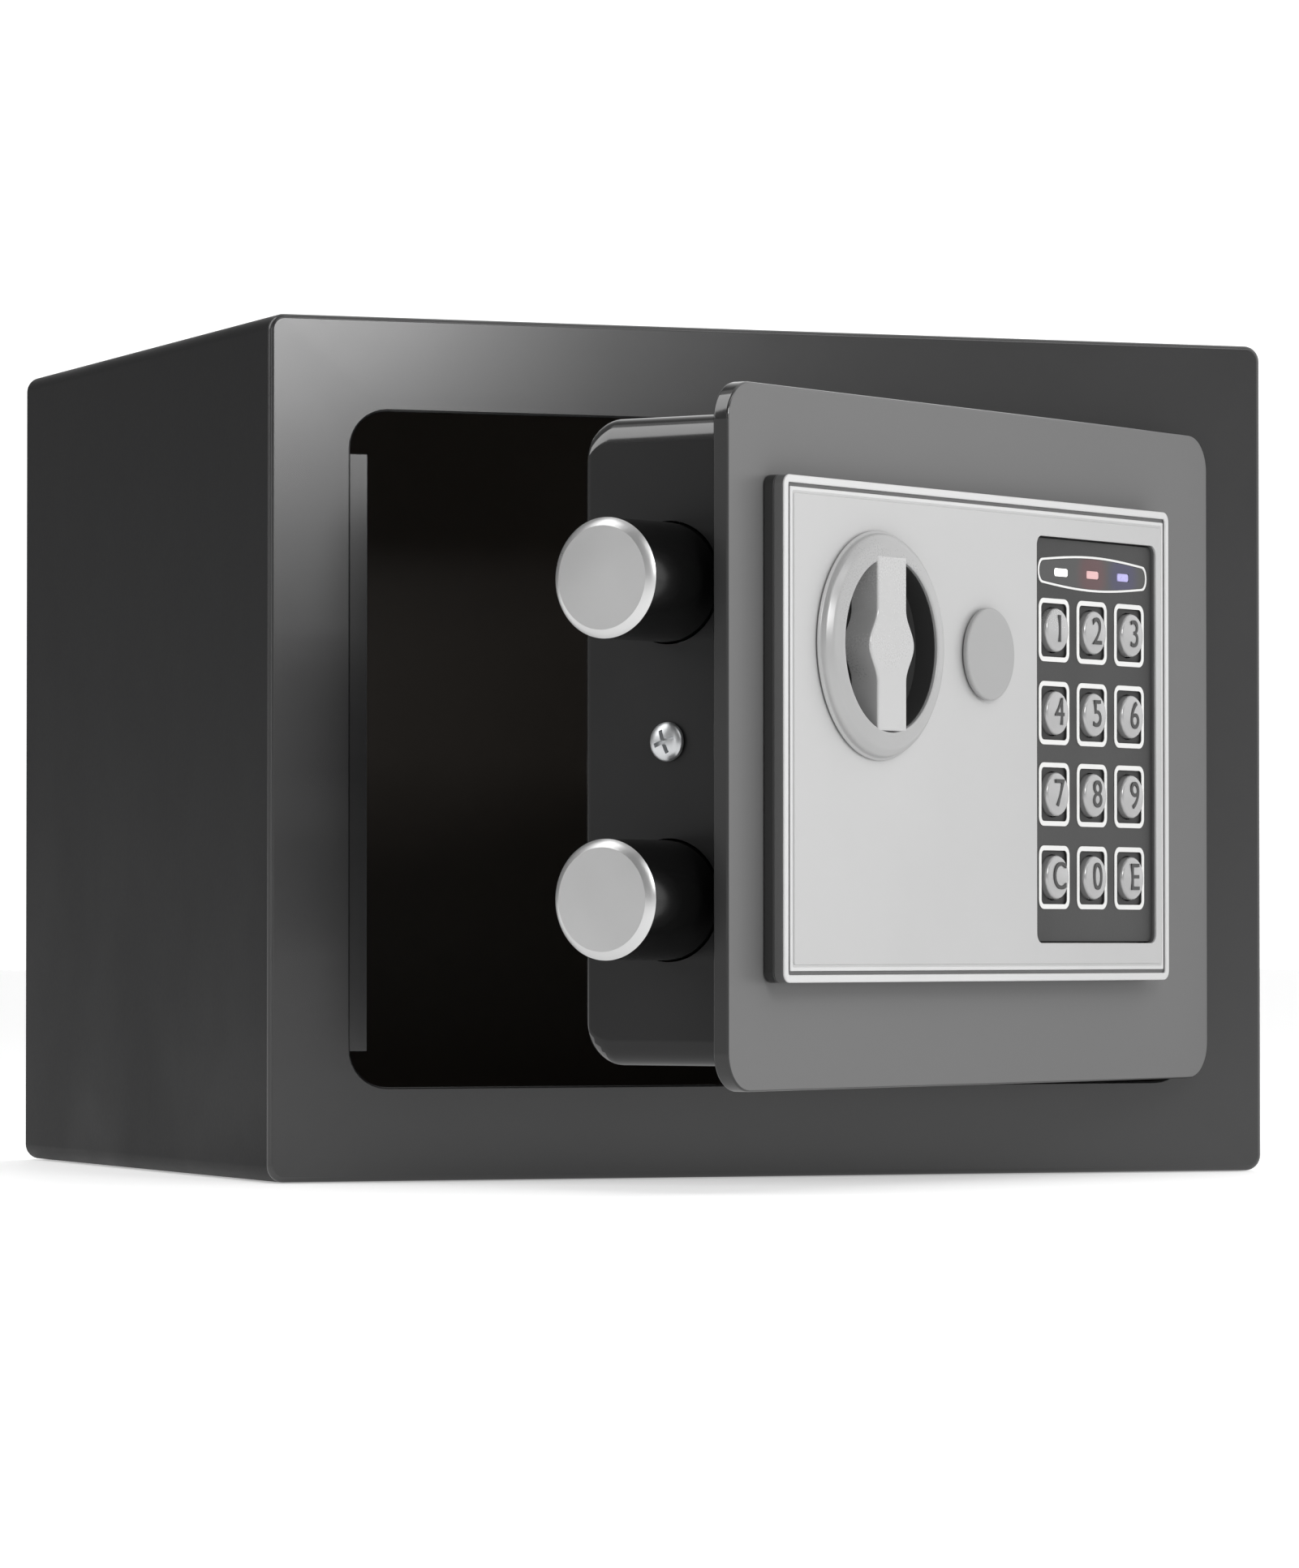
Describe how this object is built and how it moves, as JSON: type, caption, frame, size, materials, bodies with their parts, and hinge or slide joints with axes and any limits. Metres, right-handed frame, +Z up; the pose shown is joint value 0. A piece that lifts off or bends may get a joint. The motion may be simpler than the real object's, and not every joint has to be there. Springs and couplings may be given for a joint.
{
  "type": "small electronic safe",
  "caption": "Small steel safe with a hinged door standing ajar, two thrown round bolts, a turning knob, a keypad and a covered emergency key lock.",
  "frame": {"origin": "middle of the casing's underside", "axes": "+Z up; the doorway faces -Y; +X is towards the hinge side"},
  "size_m": [0.22, 0.2856, 0.174],
  "materials": {
    "case_paint": "satin powder coat",
    "frame_paint": "satin powder coat",
    "door_paint": "satin powder coat",
    "pan_paint": "semi-gloss black paint",
    "zinc": "zinc plated",
    "black_plastic": "matt moulded",
    "panel_silver": "satin silver lacquer",
    "keypad_grey": "matt film",
    "led_white": "clear moulded",
    "led_red": "clear moulded",
    "led_blue": "clear moulded",
    "key_silver": "silver lacquer",
    "knob_silver": "satin silver lacquer",
    "cover_grey": "satin",
    "bolt_black": "black gloss sleeve",
    "bolt_steel": "satin chrome",
    "brass": "machined",
    "copper": "enamelled winding",
    "circuit_board": "solder mask",
    "battery_sleeve": "printed sleeve",
    "red_plastic": "moulded"
  },
  "bodies": {
    "casing": {"front_frame": "frame_paint", "body_wrap": "case_paint", "back_panel": "case_paint", "strike_strip": "pan_paint", "hinge_bracket_upper": "pan_paint", "hinge_bracket_lower": "pan_paint", "hinge_pin_upper": "zinc", "hinge_pin_lower": "zinc"},
    "door": {"door_plate": "door_paint", "inner_pan": "pan_paint", "pan_screw_bolt_side": "zinc", "pan_screw_hinge_side": "zinc", "panel_base": "black_plastic", "panel_face": "panel_silver", "keypad_plate": "keypad_grey", "led_white": "led_white", "led_red": "led_red", "led_blue": "led_blue", "guide_post_upper": "zinc", "guide_post_lower": "zinc", "hinge_arm_upper": "pan_paint", "hinge_arm_lower": "pan_paint", "lock_body": "brass", "lock_nut": "zinc", "solenoid_frame": "zinc", "solenoid_coil": "copper", "plunger_spring": "zinc", "circuit_board": "circuit_board", "battery_tray": "black_plastic", "battery_1": "battery_sleeve", "battery_2": "battery_sleeve", "battery_3": "battery_sleeve", "battery_4": "battery_sleeve", "reset_switch": "black_plastic"},
    "bolts": {"bolt_carriage": "zinc", "bolt_barrel_upper": "bolt_black", "bolt_tip_upper": "bolt_steel", "bolt_barrel_lower": "bolt_black", "bolt_tip_lower": "bolt_steel"},
    "knob": {"knob": "knob_silver", "knob_shaft": "zinc"},
    "lock_core": {"lock_plug": "brass", "lock_cam": "zinc"},
    "cover": {"key_cover": "cover_grey"},
    "plunger": {"solenoid_plunger": "zinc"},
    "battery_lid": {"battery_door": "black_plastic"},
    "reset": {"reset_button": "red_plastic"},
    "key_1_body": {"key_1": "key_silver"},
    "key_2_body": {"key_2": "key_silver"},
    "key_3_body": {"key_3": "key_silver"},
    "key_4_body": {"key_4": "key_silver"},
    "key_5_body": {"key_5": "key_silver"},
    "key_6_body": {"key_6": "key_silver"},
    "key_7_body": {"key_7": "key_silver"},
    "key_8_body": {"key_8": "key_silver"},
    "key_9_body": {"key_9": "key_silver"},
    "key_clear_body": {"key_clear": "key_silver"},
    "key_0_body": {"key_0": "key_silver"},
    "key_enter_body": {"key_enter": "key_silver"}
  },
  "joints": [
    {"name": "door_swing", "type": "hinge", "parent": "casing", "child": "door", "pos_m": [0.1002, -0.083, 0.087], "axis": [0, 0, 1], "range_deg": [-26, 55]},
    {"name": "bolt_throw", "type": "slide", "parent": "door", "child": "bolts", "axis": [0.8192, 0.5736, 0], "range_m": [0, 0.02]},
    {"name": "knob_turn", "type": "hinge", "parent": "door", "child": "knob", "pos_m": [-0.01825, -0.17082, 0.1053], "axis": [0.5736, -0.8192, 0], "range_deg": [-90, 0]},
    {"name": "lock_turn", "type": "hinge", "parent": "door", "child": "lock_core", "pos_m": [0.01476, -0.14771, 0.105], "axis": [0.5736, -0.8192, 0], "range_deg": [-90, 0]},
    {"name": "cover_pull", "type": "slide", "parent": "door", "child": "cover", "axis": [0.5736, -0.8192, 0], "range_m": [0, 0.012]},
    {"name": "plunger_slide", "type": "slide", "parent": "door", "child": "plunger", "axis": [0, 0, 1], "range_m": [0, 0.005], "deforming": ["plunger_spring"]},
    {"name": "battery_lid_pull", "type": "slide", "parent": "door", "child": "battery_lid", "axis": [-0.5736, 0.8192, 0], "range_m": [0, 0.015]},
    {"name": "reset_press", "type": "slide", "parent": "door", "child": "reset", "axis": [0.5736, -0.8192, 0], "range_m": [0, 0.0012], "stiffness_N_per_m": 400},
    {"name": "key_1_press", "type": "slide", "parent": "door", "child": "key_1_body", "axis": [-0.5736, 0.8192, 0], "range_m": [0, 0.0008], "stiffness_N_per_m": 400},
    {"name": "key_2_press", "type": "slide", "parent": "door", "child": "key_2_body", "axis": [-0.5736, 0.8192, 0], "range_m": [0, 0.0008], "stiffness_N_per_m": 400},
    {"name": "key_3_press", "type": "slide", "parent": "door", "child": "key_3_body", "axis": [-0.5736, 0.8192, 0], "range_m": [0, 0.0008], "stiffness_N_per_m": 400},
    {"name": "key_4_press", "type": "slide", "parent": "door", "child": "key_4_body", "axis": [-0.5736, 0.8192, 0], "range_m": [0, 0.0008], "stiffness_N_per_m": 400},
    {"name": "key_5_press", "type": "slide", "parent": "door", "child": "key_5_body", "axis": [-0.5736, 0.8192, 0], "range_m": [0, 0.0008], "stiffness_N_per_m": 400},
    {"name": "key_6_press", "type": "slide", "parent": "door", "child": "key_6_body", "axis": [-0.5736, 0.8192, 0], "range_m": [0, 0.0008], "stiffness_N_per_m": 400},
    {"name": "key_7_press", "type": "slide", "parent": "door", "child": "key_7_body", "axis": [-0.5736, 0.8192, 0], "range_m": [0, 0.0008], "stiffness_N_per_m": 400},
    {"name": "key_8_press", "type": "slide", "parent": "door", "child": "key_8_body", "axis": [-0.5736, 0.8192, 0], "range_m": [0, 0.0008], "stiffness_N_per_m": 400},
    {"name": "key_9_press", "type": "slide", "parent": "door", "child": "key_9_body", "axis": [-0.5736, 0.8192, 0], "range_m": [0, 0.0008], "stiffness_N_per_m": 400},
    {"name": "key_clear_press", "type": "slide", "parent": "door", "child": "key_clear_body", "axis": [-0.5736, 0.8192, 0], "range_m": [0, 0.0008], "stiffness_N_per_m": 400},
    {"name": "key_0_press", "type": "slide", "parent": "door", "child": "key_0_body", "axis": [-0.5736, 0.8192, 0], "range_m": [0, 0.0008], "stiffness_N_per_m": 400},
    {"name": "key_enter_press", "type": "slide", "parent": "door", "child": "key_enter_body", "axis": [-0.5736, 0.8192, 0], "range_m": [0, 0.0008], "stiffness_N_per_m": 400}
  ],
  "couplings": [
    {"joint": "knob_turn", "follows": "bolt_throw", "rad_per_m": -78.54}
  ]
}
